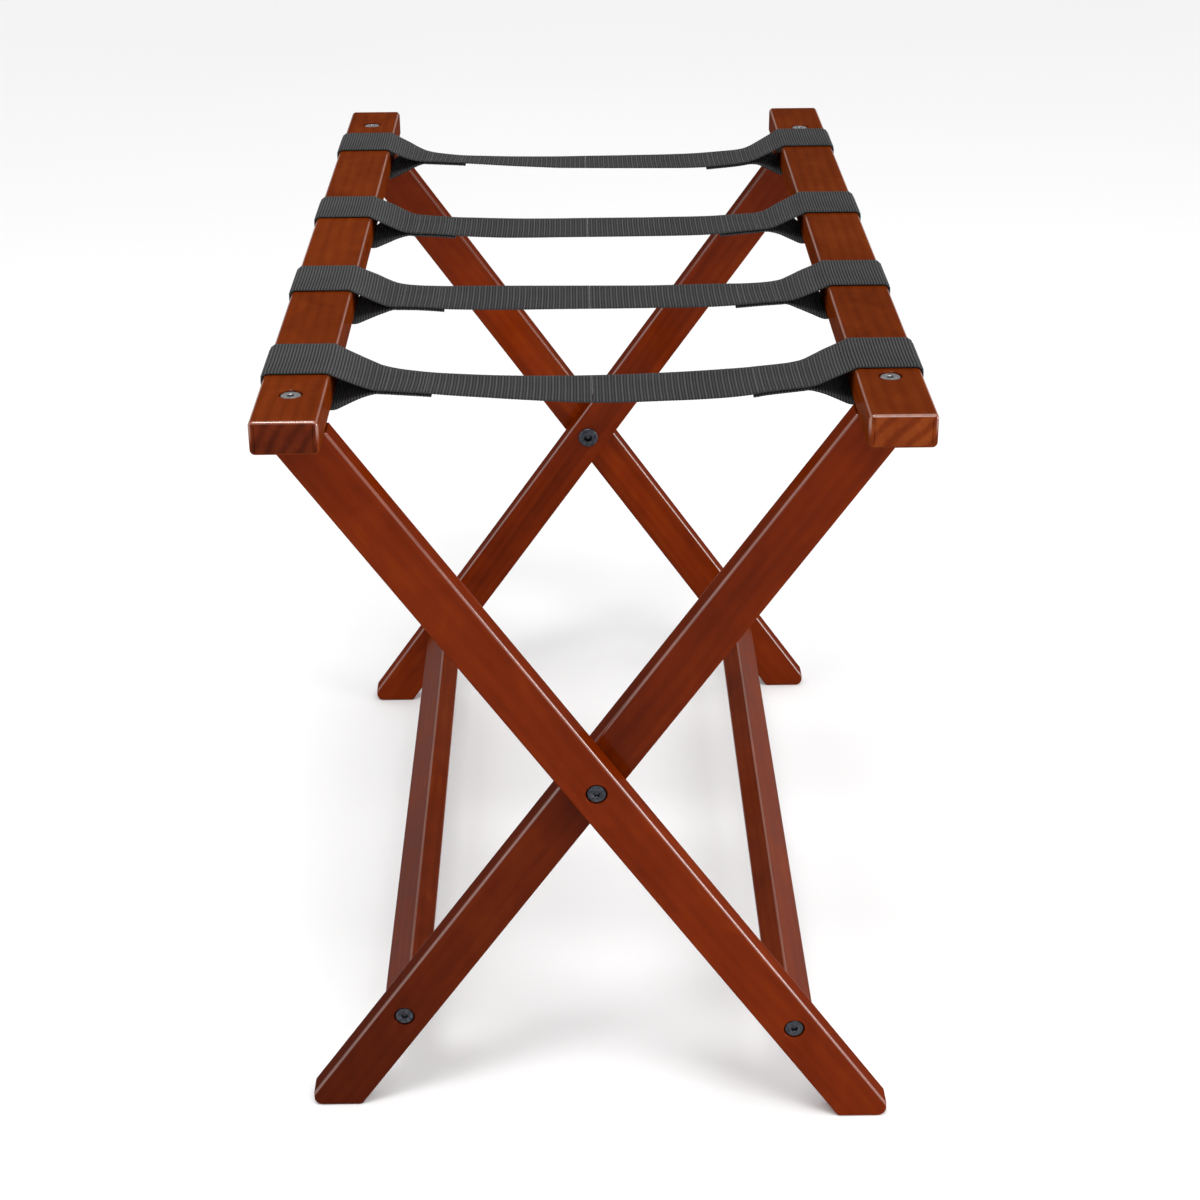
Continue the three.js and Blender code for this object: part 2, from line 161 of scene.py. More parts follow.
def prism(name, outline, y0, y1, round_r, steps=5):
    """An outline in X and Z carried from y0 to y1, with rounded end edges."""
    rings = []
    margin = 1.5 * MM  # a flat border on each end, so that its shading stays flat
    for s, y in ((1, y0), (-1, y1)):
        part = [(inset(outline, round_r + margin), y)]
        for k in range(steps + 1):
            a = k / steps * math.pi / 2
            part.append((inset(outline, round_r * (1 - math.sin(a))), y + s * round_r * (1 - math.cos(a))))
        rings.append(part)
    chain = rings[0] + rings[1][::-1]
    n = len(outline)
    verts = np.concatenate([np.column_stack([r[:, 0], np.full(n, y), r[:, 1]]) for r, y in chain])
    faces = [tuple(f) for f in grid_faces(len(chain), n, True)]
    # each end is closed with a strip of quads
    for base in (0, (len(chain) - 1) * n):
        for k in range((n - 1) // 2):
            quad = (base + k, base + k + 1, base + n - 2 - k, base + n - 1 - k)
            faces.append(quad if len(set(quad)) == 4 else quad[:3])
    obj = new_object(name, verts, faces)
    fix_normals(obj)
    return obj


def fix_normals(obj):
    bm = bmesh.new()
    bm.from_mesh(obj.data)
    bmesh.ops.recalc_face_normals(bm, faces=bm.faces)
    bm.to_mesh(obj.data)
    bm.free()


def lathe(name, profile, segments=48, hex_rows=()):
    """Turns (radius, height) pairs about Z. Rows in hex_rows follow a hexagon of that across-flats radius."""
    a = np.arange(segments) / segments * 2 * math.pi
    shape = 1 / np.cos((a % (math.pi / 3)) - math.pi / 6)
    verts = []
    for k, (r, z) in enumerate(profile):
        rr = r * shape if k in hex_rows else np.full(segments, r)
        verts.append(np.column_stack([rr * np.cos(a), rr * np.sin(a), np.full(segments, z)]))
    faces = [tuple(f) for f in grid_faces(len(profile), segments, True)]
    closed = profile[0] == profile[-1]
    if closed:
        verts = verts[:-1]
        total = len(verts) * segments
        faces = [tuple(i % total for i in f) for f in faces]
    else:
        faces.append(tuple(range(segments))[::-1])
        faces.append(tuple(range((len(profile) - 1) * segments, len(profile) * segments)))
    obj = new_object(name, np.concatenate(verts), faces)
    fix_normals(obj)
    return obj


def cut(obj, tools):
    """Subtracts the tools from obj for good."""
    for tool in tools:
        m = obj.modifiers.new("cut", "BOOLEAN")
        m.operation = "DIFFERENCE"
        m.solver = "EXACT"
        m.object = tool
    bpy.context.view_layer.update()
    deps = bpy.context.evaluated_depsgraph_get()
    mesh = bpy.data.meshes.new_from_object(obj.evaluated_get(deps))
    obj.modifiers.clear()
    old = obj.data
    obj.data = mesh
    mesh.name = obj.name
    bpy.data.meshes.remove(old)
    for tool in tools:
        bpy.data.objects.remove(tool)


def place(obj, matrix):
    obj.data.transform(matrix)
    return obj


def along(direction, point):
    """Carries +Z onto a direction, at a point."""
    return Matrix.Translation(point) @ Vector(direction).to_track_quat("Z", "Y").to_matrix().to_4x4()


# ---------------------------------------------------------------- material helpers
class Nodes:
    """A short way to write a node tree."""

    def __init__(self, name):
        self.material = bpy.data.materials.new(name)
        self.material.use_nodes = True
        self.tree = self.material.node_tree
        self.tree.nodes.clear()

    def split(self, vector):
        node = self.tree.nodes.new("ShaderNodeSeparateXYZ")
        self.put(node.inputs[0], vector)
        return node.outputs

    def own_coordinates(self):
        return self.tree.nodes.new("ShaderNodeTexCoord").outputs["Object"]

    def put(self, socket, value):
        if isinstance(value, bpy.types.NodeSocket):
            self.tree.links.new(value, socket)
        else:
            socket.default_value = value

    def math(self, op, a, b=0.0, c=None):
        node = self.tree.nodes.new("ShaderNodeMath")
        node.operation = op
        self.put(node.inputs[0], a)
        self.put(node.inputs[1], b)
        if c is not None:
            self.put(node.inputs[2], c)
        return node.outputs[0]

    def mapped(self, value, lo, hi, out_lo=0.0, out_hi=1.0):
        node = self.tree.nodes.new("ShaderNodeMapRange")
        node.interpolation_type = "SMOOTHSTEP"
        for key, v in zip(range(5), (value, lo, hi, out_lo, out_hi)):
            self.put(node.inputs[key], v)
        return node.outputs[0]

    def scaled(self, vector, scale):
        node = self.tree.nodes.new("ShaderNodeVectorMath")
        node.operation = "MULTIPLY"
        self.put(node.inputs[0], vector)
        self.put(node.inputs[1], scale)
        return node.outputs[0]

    def noise(self, vector, detail=3.0, rough=0.55, w=None, distortion=0.0):
        node = self.tree.nodes.new("ShaderNodeTexNoise")
        node.noise_dimensions = "3D" if w is None else "4D"
        self.put(node.inputs["Vector"], vector)
        if w is not None:
            self.put(node.inputs["W"], w)
        node.inputs["Scale"].default_value = 1.0
        node.inputs["Detail"].default_value = detail
        node.inputs["Roughness"].default_value = rough
        node.inputs["Distortion"].default_value = distortion
        return node.outputs["Fac"]

    def ramp(self, value, stops):
        node = self.tree.nodes.new("ShaderNodeValToRGB")
        self.put(node.inputs[0], value)
        elements = node.color_ramp.elements
        while len(elements) < len(stops):
            elements.new(0.5)
        for e, (at, colour) in zip(elements, stops):
            e.position = at
            e.color = (*colour, 1.0)
        return node.outputs["Color"]

    def mix(self, factor, a, b):
        node = self.tree.nodes.new("ShaderNodeMix")
        node.data_type = "RGBA"
        self.put(node.inputs[0], factor)
        self.put(node.inputs[6], a)
        self.put(node.inputs[7], b)
        return node.outputs[2]

    def attribute(self, name):
        node = self.tree.nodes.new("ShaderNodeAttribute")
        node.attribute_name = name
        return node

    def surface(self, **inputs):
        shader = self.tree.nodes.new("ShaderNodeBsdfPrincipled")
        for key, value in inputs.items():
            self.put(shader.inputs[key.replace("_", " ")], value)
        out = self.tree.nodes.new("ShaderNodeOutputMaterial")
        self.tree.links.new(shader.outputs[0], out.inputs[0])
        return self.material

    def bump(self, height, strength, distance, normal=None):
        node = self.tree.nodes.new("ShaderNodeBump")
        self.put(node.inputs["Height"], height)
        node.inputs["Strength"].default_value = strength
        node.inputs["Distance"].default_value = distance
        if normal is not None:
            self.put(node.inputs["Normal"], normal)
        return node.outputs["Normal"]


def srgb(r, g, b):
    def one(v):
        v /= 255
        return v / 12.92 if v <= 0.04045 else ((v + 0.055) / 1.055) ** 2.4
    return (one(r), one(g), one(b))


WOOD_COAT = 0.024
EDGE_COAT = 0.55
NO_END = 9.0  # half a length far beyond any member: its ends don't count as arrises
RING_SPACING, END_RING_SPACING = 0.0030, 0.0042
ARRIS, ARRIS_LINE = 0.0019, 0.0006  # how far in from a member's side its arris begins and is full
# the lighter colour of the arrises: rubbed wood and a painted highlight
RUBBED_AND_HIGHLIGHT = (186, 122, 92)


def wood(name, dark, mid, light, half_across, half_thick, end=False, half_along=NO_END, wear_and_highlight=0.22,
         specular=0.0, flat=False):
    """Stained, lacquered wood. The grain attribute is (along, across, through) the member in metres.

    end: the grain seen on a cut end. The wear argument: how far the finish is rubbed off the arrises,
    together with a painted highlight on them.
    flat: the member lies with its third grain axis up, where the others have the second one up.
    """
    n = Nodes(name)
    grain = n.attribute("grain").outputs["Vector"]
    seed = n.attribute("seed").outputs["Fac"]
    stain_and_shade = n.attribute("stain_and_shade").outputs["Fac"]
    u, v, w = n.split(grain)
    mottle = n.noise(n.scaled(grain, (26, 48, 48)), 3, 0.55, seed, 0.7)
    broad = n.noise(n.scaled(grain, (4, 14, 14)), 1, 0.5, n.math("ADD", seed, 7.0))
    figure = n.noise(n.scaled(grain, (7, 260, 260)), 4, 0.6, n.math("ADD", seed, 3.0), 0.4)
    fibre = n.noise(n.scaled(grain, (34, 1500, 1500)), 3, 0.6, n.math("ADD", seed, 5.0))
    # growth rings about a pith well outside the member
    pith_v = n.math("MULTIPLY_ADD", n.math("SINE", n.math("MULTIPLY", seed, 3.7)), 0.04, 0.03)
    pith_w = n.math("MULTIPLY_ADD", n.math("COSINE", n.math("MULTIPLY", seed, 5.1)), 0.03, -0.075)
    dv = n.math("SUBTRACT", v, pith_v)
    dw = n.math("SUBTRACT", w, pith_w)
    radius = n.math("SQRT", n.math("ADD", n.math("MULTIPLY", dv, dv), n.math("MULTIPLY", dw, dw)))
    wander = n.noise(n.scaled(grain, (6, 32, 32)), 2, 0.5, n.math("ADD", seed, 11.0))
    radius = n.math("MULTIPLY_ADD", wander, 0.012, radius)
    ring = n.math("PINGPONG", n.math("DIVIDE", radius, END_RING_SPACING if end else RING_SPACING), 1.0)
    late = n.mapped(ring, 0.25, 0.9)
    # pores: short dark dashes along the grain
    pore = n.noise(n.scaled(grain, (85, 2300, 2300)), 1, 0.5, n.math("ADD", seed, 2.0))
    pore = n.mapped(pore, 0.64, 0.78)
    tone = n.math("MULTIPLY_ADD", mottle, 0.44, n.math("MULTIPLY", broad, 0.30))
    tone = n.math("MULTIPLY_ADD", figure, 0.16, tone)
    tone = n.math("MULTIPLY_ADD", fibre, 0.10 if not end else 0.2, tone)
    tone = n.math("MULTIPLY_ADD", late, -0.05 if not end else -0.14, tone)
    colour = n.ramp(tone, [(0.12, [c * 0.45 for c in dark]), (0.30, dark), (0.50, mid), (0.72, light)])
    colour = n.mix(n.math("MULTIPLY", pore, 0.25), colour, (*dark, 1))
    # painted shade and light: the colour is scaled by the member's attribute that makes it darker or lighter
    # along its length
    colour = n.scaled(colour, stain_and_shade)
    # worn arrises and a painted highlight: the edges are coloured lighter, partly as wear through the finish,
    # partly as a painted highlight along them
    near = n.math("ADD", *(
        n.mapped(n.math("ABSOLUTE", c), half - ARRIS, half - ARRIS_LINE)
        for c, half in ((v, half_across), (w, half_thick))
    ))
    near = n.math("ADD", near, n.mapped(n.math("ABSOLUTE", u), half_along - ARRIS, half_along - ARRIS_LINE))
    rub_and_highlight = n.noise(n.scaled(grain, (45, 160, 160)), 3, 0.6, n.math("ADD", seed, 9.0))
    rub_and_highlight = n.math("MULTIPLY", n.mapped(near, 1.15, 1.75), n.mapped(rub_and_highlight, 0.30, 0.62, 0.35, 1.0))
    # painted highlight: only on the upper side, where the light falls, so the lower arrises stay dark
    upper = n.mapped(w if flat else v, -0.004, 0.006)
    rub_and_highlight = n.math("MULTIPLY", rub_and_highlight, upper)
    colour = n.mix(n.math("MULTIPLY", rub_and_highlight, wear_and_highlight), colour, (*srgb(*RUBBED_AND_HIGHLIGHT), 1))
    height = n.math("MULTIPLY_ADD", pore, -0.8, n.math("MULTIPLY", fibre, 0.4))
    height = n.math("MULTIPLY_ADD", figure, 0.2, height)
    wave = n.noise(n.scaled(grain, (14, 60, 60)), 2, 0.5, n.math("ADD", seed, 13.0))
    normal = n.bump(wave, 0.2, 0.0005, n.bump(height, 0.15, 0.0001))
    rough = n.math("MULTIPLY_ADD", mottle, 0.14, 0.40 if not end else 0.50)
    # the lacquer is thicker and glossier along the rounded edges
    coat = n.math("MULTIPLY", n.mapped(near, 1.0, 1.6, 0.0, EDGE_COAT - WOOD_COAT), upper)
    coat = n.math("ADD", coat, WOOD_COAT)
    return n.surface(
        Base_Color=colour, Roughness=rough, Normal=normal, IOR=1.5, Specular_IOR_Level=specular,
        Coat_Weight=coat, Coat_Roughness=0.15, Coat_IOR=2.4,
    )


def webbing_material():
    """Woven charcoal webbing. The web attribute is (along, across, side) in metres."""
    n = Nodes("webbing")
    web = n.attribute("web").outputs["Vector"]
    rib_lift_and_shade = n.attribute("rib_lift_and_shade").outputs["Fac"]
    u, v, _ = n.split(web)
    row = n.math("FLOOR", n.math("DIVIDE", u, RIB / 2))
    parity = n.math("PINGPONG", row, 1.0)
    across = n.math("ADD", n.math("DIVIDE", v, 0.0011), n.math("MULTIPLY", parity, 0.5))
    yarn = n.math("ABSOLUTE", n.math("SINE", n.math("MULTIPLY", across, math.pi)))
    thread = n.noise(n.scaled(web, (2600, 420, 1)), 3, 0.6)
    fuzz = n.noise(n.scaled(web, (1500, 1500, 900)), 3, 0.6)
    fade = n.noise(n.scaled(web, (26, 40, 3)), 2, 0.5)
    # painted shade and sheen: the rib tops are coloured lighter and the valleys between them darker,
    # following the ribs' height
    tone = n.math("MULTIPLY_ADD", rib_lift_and_shade, 0.52, n.math("MULTIPLY", yarn, 0.14))
    tone = n.math("MULTIPLY_ADD", fuzz, 0.14, tone)
    tone = n.math("MULTIPLY_ADD", thread, 0.10, tone)
    tone = n.math("MULTIPLY_ADD", fade, 0.16, tone)
    colour = n.ramp(tone, [
        (0.05, srgb(8, 8, 9)), (0.24, srgb(20, 20, 21)), (0.46, srgb(46, 46, 47)), (0.72, srgb(67, 67, 68)),
        (0.95, srgb(86, 86, 87)),
    ])
    edge = n.mapped(n.math("ABSOLUTE", v), 0.0236, 0.0250)
    colour = n.mix(n.math("MULTIPLY", edge, 0.35), colour, (*srgb(34, 34, 35), 1))
    height = n.math("MULTIPLY_ADD", yarn, 0.6, n.math("MULTIPLY", fuzz, 0.35))
    normal = n.bump(height, 0.6, 0.0002)
    return n.surface(
        Base_Color=colour, Roughness=0.82, Normal=normal,
        Sheen_Weight=0.04, Sheen_Roughness=0.45, Specular_IOR_Level=0.05,
    )


def thread_material():
    n = Nodes("thread")
    twist = n.noise(n.scaled(n.own_coordinates(), (2400, 2400, 2400)), 3, 0.6)
    colour = n.ramp(twist, [(0.3, srgb(22, 22, 24)), (0.7, srgb(62, 62, 66))])
    return n.surface(
        Base_Color=colour, Roughness=0.6, Normal=n.bump(twist, 0.6, 0.0001), Sheen_Weight=0.2,
    )


def metal(name, colour, dark, rough, spots):
    """Plated steel with a faint fine texture and handling stains. It reads the object's own coordinates."""
    n = Nodes(name)
    co = n.own_coordinates()
    stain_and_shade = n.noise(n.scaled(co, (420, 420, 420)), 4, 0.65)
    fine = n.noise(n.scaled(co, (3200, 3200, 3200)), 3, 0.6)
    base = n.ramp(stain_and_shade, [(0.35, dark), (0.6, colour)])
    base = n.mix(n.mapped(fine, 0.62, 0.75, 0.0, spots), base, (*[c * 1.6 for c in colour], 1))
    return n.surface(
        Base_Color=base, Metallic=1.0, Roughness=n.math("MULTIPLY_ADD", stain_and_shade, 0.25, rough),
        Normal=n.bump(fine, 0.12, 0.00006),
    )


def nylon_material():
    n = Nodes("nylon")
    co = n.own_coordinates()
    haze = n.noise(n.scaled(co, (600, 600, 600)), 3, 0.5)
    return n.surface(
        Base_Color=n.ramp(haze, [(0.3, srgb(196, 190, 176)), (0.7, srgb(222, 218, 206))]),
        Roughness=0.5, Normal=n.bump(haze, 0.2, 0.0001), Subsurface_Weight=0.1,
    )


def floor_material():
    n = Nodes("floor")
    co = n.own_coordinates()
    cloud = n.noise(n.scaled(co, (0.8, 0.8, 0.8)), 2, 0.5)
    return n.surface(
        Base_Color=n.ramp(cloud, [(0.3, (0.86, 0.86, 0.86)), (0.7, (0.88, 0.88, 0.88))]),
        Roughness=0.9, Specular_IOR_Level=0.1,
    )


# ---------------------------------------------------------------- wooden members
def rounded_rect(cx, cz, width, height, radius, turn, steps):
    """A rectangle's outline with round corners, turned about its middle (cx, cz), anticlockwise."""
    pts = []
    for q, (sx, sz) in enumerate(((1, 1), (-1, 1), (-1, -1), (1, -1))):
        for k in range(steps + 1):
            a = (q + k / steps) * math.pi / 2
            x = sx * (width / 2 - radius) + radius * math.cos(a)
            z = sz * (height / 2 - radius) + radius * math.sin(a)
            pts.append((
                cx + x * math.cos(turn) - z * math.sin(turn),
                cz + x * math.sin(turn) + z * math.cos(turn),
            ))
    return np.array(pts)


def leg_outline():
    """The leg that leans from the left rail to the right foot, anticlockwise from above its sole."""
    slope = math.tan(LEAN)
    half = LEG_WIDTH / 2 / math.cos(LEAN)
    top = RAIL_BOTTOM - FIT
    toe_cut, toe_r, toe_bevel, heel_r = 7 * MM, 5.5 * MM, 0.6 * MM, 1.2 * MM
    toe = FOOT_MID + half - toe_cut
    head, heel = np.array((FOOT_MID - slope * top - half, top)), np.array((FOOT_MID - half, 0))
    run = (head - heel) / np.linalg.norm(head - heel)
    out = [head, heel + run * heel_r, heel + run * heel_r * 0.35 + (heel_r * 0.35, 0), heel + (heel_r, 0)]
    for k in range(9):
        a = -math.pi / 2 + k / 8 * math.pi / 2
        out.append((toe - toe_r + toe_r * math.cos(a), toe_r + toe_r * math.sin(a)))
    out += [(toe, toe_cut / slope - toe_bevel), (toe - toe_bevel, toe_cut / slope + toe_bevel)]
    out.append((FOOT_MID - slope * top + half, top))
    return np.array(out)


def counterbore(matrix):
    """A cutter for a bolt: its mouth is at z = 0, with a small chamfer, and it cuts towards -Z."""
    c = 0.35 * MM
    profile = [
        (BORE_R + c + 1 * MM, 1 * MM), (BORE_R + c, 0), (BORE_R, -c), (BORE_R, -BORE_DEPTH),
        (SHANK_R + FIT, -BORE_DEPTH), (SHANK_R + FIT, -THROUGH),
    ]
    return place(lathe("cutter", profile), matrix)


def plain_hole(matrix, radius, depth):
    """A cutter for a round hole from z = 0 towards -Z."""
    return place(lathe("cutter", [(radius, 1 * MM), (radius, -depth)], 40), matrix)


def finish_member(obj, body, material, ends, to_grain, seed, node, cap, stain_and_shade=(1.0, 1.0, 1.0)):
    """Materials, grain coordinates, shading and body of one wooden member. cap tells its end faces."""
    mesh = obj.data
    mesh.materials.clear()
    mesh.materials.append(material)
    mesh.materials.append(ends)
    for p in mesh.polygons:
        p.material_index = 1 if cap(p) else 0
    co = coords(obj)
    grain = to_grain(co)
    set_attribute(obj, "grain", grain)
    lo, hi = grain[:, 0].min(), grain[:, 0].max()
    # painted shade and light: the colour scale along the member, given at its two ends and its middle
    set_attribute(obj, "stain_and_shade", np.interp(grain[:, 0], (lo, (lo + hi) / 2, hi), stain_and_shade), "FLOAT")
    set_attribute(obj, "seed", np.full(len(co), seed), "FLOAT")
    shade(obj)
    weighted(obj)
    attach(obj, body)
    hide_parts(node)


RAIL_HALVES = ((RAIL_OUTER - RAIL_INNER) / 2, (RAIL_TOP - RAIL_BOTTOM) / 2)
LEG_HALVES = (LEG_WIDTH / 2, LEG_THICKNESS / 2)
rail_wood = wood("rail_wood", srgb(78, 26, 3), srgb(99, 38, 7), srgb(118, 53, 14), *RAIL_HALVES,
                 half_along=RAIL_END, wear_and_highlight=0.26, flat=True)
# painted shade and light: one end grain in two copies, the left rail's end coloured darker as in shade, the
# right's lighter as lit
shaded_left_rail_end = wood("shaded_left_rail_end", srgb(50, 13, 2), srgb(72, 22, 4), srgb(98, 36, 10), *RAIL_HALVES,
                     end=True, half_along=RAIL_END, wear_and_highlight=0.34, flat=True)
lit_right_rail_end = wood("lit_right_rail_end", srgb(80, 25, 3), srgb(106, 41, 8), srgb(134, 64, 22), *RAIL_HALVES,
                      end=True, half_along=RAIL_END, wear_and_highlight=0.3, flat=True)
leg_wood = wood("leg_wood", srgb(82, 22, 1), srgb(100, 31, 2), srgb(117, 43, 4), *LEG_HALVES,
                wear_and_highlight=0.14)
leg_end = wood("leg_end", srgb(56, 16, 2), srgb(86, 28, 4), srgb(112, 46, 12), *LEG_HALVES, end=True)
stretcher_wood = wood("stretcher_wood", srgb(76, 23, 2), srgb(95, 32, 4), srgb(113, 46, 9), *LEG_HALVES,
                      wear_and_highlight=0.14, specular=0.012)

for name, side, leg_box, body, seed in (
    ("left_rail", -1, OUTER_LEG, "outer_frame", 3.82),
    ("right_rail", 1, INNER_LEG, "inner_frame", 7.22),
):
    x = side * RAIL_MID
    z = (RAIL_TOP + RAIL_BOTTOM) / 2
    bolt_y = (leg_box[0].y + leg_box[1].y) / 2
    rail = prism(
        name + "_board",
        rounded_rect(x, z, RAIL_OUTER - RAIL_INNER, RAIL_TOP - RAIL_BOTTOM, RAIL_CORNER, 0.0, 8),
        -RAIL_END, RAIL_END, RAIL_END_ROUND,
    )
    cut(rail, [counterbore(Matrix.Translation((x, s * bolt_y, RAIL_TOP))) for s in (-1, 1)])
    centre = np.array((x, 0, z))
    # the right rail is coloured a little darker along its length than the left
    finish_member(
        rail, body, rail_wood, shaded_left_rail_end if side < 0 else lit_right_rail_end,
        lambda co, c=centre: np.column_stack([co[:, 1], co[:, 0] - c[0], co[:, 2] - c[2]]),
        seed, name, lambda p: abs(p.normal.y) > 0.9, (1, 1, 1) if side < 0 else (0.88, 0.86, 0.84),
    )

leg_across = np.array((math.cos(LEAN), math.sin(LEAN)))
leg_along = np.array((-math.sin(LEAN), math.cos(LEAN)))
# painted shade and light: how much darker or lighter each leg is coloured at its foot, middle and head,
# against the usual tone, for the light falling unevenly along it
LEG_PAINTED_SHADE = {
    "outer_leg_front": (1.02, 0.96, 0.98), "inner_leg_front": (0.46, 0.62, 0.95),
    "outer_leg_rear": (0.92, 1.26, 0.84), "inner_leg_rear": (1.0, 0.70, 0.84),
}
for frame_name, lean, leg_box, body in (
    ("outer", 1, OUTER_LEG, "outer_frame"), ("inner", -1, INNER_LEG, "inner_frame"),
):
    for word, end in (("front", -1), ("rear", 1)):
        node = f"{frame_name}_leg_{word}"
        lo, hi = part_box(node)
        outline = leg_outline()
        if lean < 0:
            outline = np.column_stack([-outline[:, 0], outline[:, 1]])[::-1]
        leg = prism(node + "_board", outline, lo.y, hi.y, LEG_ROUND)
        face = end * leg_box[1].y
        outward = (0, end, 0)
        sx = lean * STRETCHER.x
        mid_y = (lo.y + hi.y) / 2
        tools = [
            counterbore(along(outward, (sx, face, STRETCHER.z))),
            plain_hole(
                Matrix.Translation((-lean * RAIL_MID, mid_y, RAIL_BOTTOM)), INSERT_HOLE_R, INSERT_HOLE_DEPTH,
            ),
        ]
        if lean > 0:
            tools.append(counterbore(along(outward, (0, face, PIVOT_Z))))
        else:
            tools.append(plain_hole(along(outward, (0, face, PIVOT_Z)), NUT_HOLE_R, THROUGH))
        cut(leg, tools)

        def to_grain(co, lean=lean, mid_y=mid_y):
            x = co[:, 0] * lean - FOOT_MID
            return np.column_stack([
                x * leg_along[0] + co[:, 2] * leg_along[1],
                x * leg_across[0] + co[:, 2] * leg_across[1],
                co[:, 1] - mid_y,
            ])

        finish_member(
            leg, body, leg_wood, leg_end, to_grain, 2.1 + 3.3 * (lean > 0) + 1.7 * (end > 0), node,
            lambda p: abs(p.normal.z) > 0.95, LEG_PAINTED_SHADE[node],
        )

for word, side, body in (("right", 1, "outer_frame"), ("left", -1, "inner_frame")):
    node = f"{word}_stretcher"
    lo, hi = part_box(node)
    turn = math.pi / 2 + side * LEAN
    bar = prism(
        node + "_board",
        rounded_rect(side * STRETCHER.x, STRETCHER.z, LEG_WIDTH, LEG_THICKNESS, STRETCHER_CORNER, turn, 6),
        lo.y, hi.y, STRETCHER_END_ROUND, 3,
    )
    cut(bar, [
        plain_hole(
            along((0, s, 0), (side * STRETCHER.x, s * hi.y, STRETCHER.z)), INSERT_HOLE_R, INSERT_HOLE_DEPTH,
        )
        for s in (-1, 1)
    ])

    def to_grain(co, side=side):
        x = (co[:, 0] - side * STRETCHER.x) * side
        z = co[:, 2] - STRETCHER.z
        return np.column_stack([
            co[:, 1], x * leg_along[0] + z * leg_along[1], x * leg_across[0] + z * leg_across[1],
        ])

    finish_member(
        bar, body, stretcher_wood, leg_end, to_grain, 8.2 + side, node, lambda p: abs(p.normal.y) > 0.9,
    )

# ---------------------------------------------------------------- fasteners
black = metal("black_oxide", srgb(72, 74, 80), srgb(40, 41, 46), 0.28, 0.25)
zinc = metal("zinc", srgb(168, 168, 170), srgb(120, 120, 122), 0.22, 0.2)
brass = metal("brass", srgb(190, 150, 88), srgb(140, 106, 58), 0.3, 0.1)
nylon = nylon_material()


def bolt(name, node, matrix, length, material, body):
    """A socket-head bolt with the top of its head at z = 0, its shank towards -Z."""
    r, e = HEAD_R, 0.45 * MM
    hexr = SOCKET_R
    profile = [
        (0.02 * MM, -3.0 * MM), (hexr * 0.55, -2.7 * MM), (hexr, -2.4 * MM), (hexr, -0.35 * MM),
        (hexr + 0.32 * MM, -0.02 * MM), (hexr + 0.45 * MM, 0.0), (3.6 * MM, 0.0), (r - e - 0.35 * MM, 0.0),
        (r - e, -0.05 * MM), (r - 0.12 * MM, -e * 0.75), (r, -e - 0.2 * MM), (r, -HEAD_H + 0.25 * MM),
        (r - 0.25 * MM, -HEAD_H), (SHANK_R + 0.3 * MM, -HEAD_H), (SHANK_R, -HEAD_H - 0.3 * MM),
        (SHANK_R, -HEAD_H - length + 0.8 * MM), (SHANK_R - 0.6 * MM, -HEAD_H - length),
        (0.02 * MM, -HEAD_H - length),
    ]
    obj = place(lathe(name, profile, 72, hex_rows=(1, 2, 3)), matrix)
    obj.data.materials.append(material)
    shade(obj, 38)
    weighted(obj)
    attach(obj, body)
    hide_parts(node)


def turned(name, node, profile, matrix, material, body, segments=48):
    """A small turned part from its profile."""
    obj = place(lathe(name, profile, segments), matrix)
    obj.data.materials.append(material)
    shade(obj, 38)
    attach(obj, body)
    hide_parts(node)


def sleeve(r_in, r_out, length, ridges):
    """A closed profile of a threaded insert, with a coarse outside thread as ridges."""
    outer = []
    for k in range(ridges):
        z = -length * (k + 0.25) / ridges
        outer += [(r_out, z), (r_out - 0.5 * MM, z - length * 0.5 / ridges)]
    return [
        (r_in, 0), (r_in, -length), (r_out - 0.5 * MM, -length),
        *outer[::-1], (r_out - 0.3 * MM, 0), (r_in, 0),
    ]


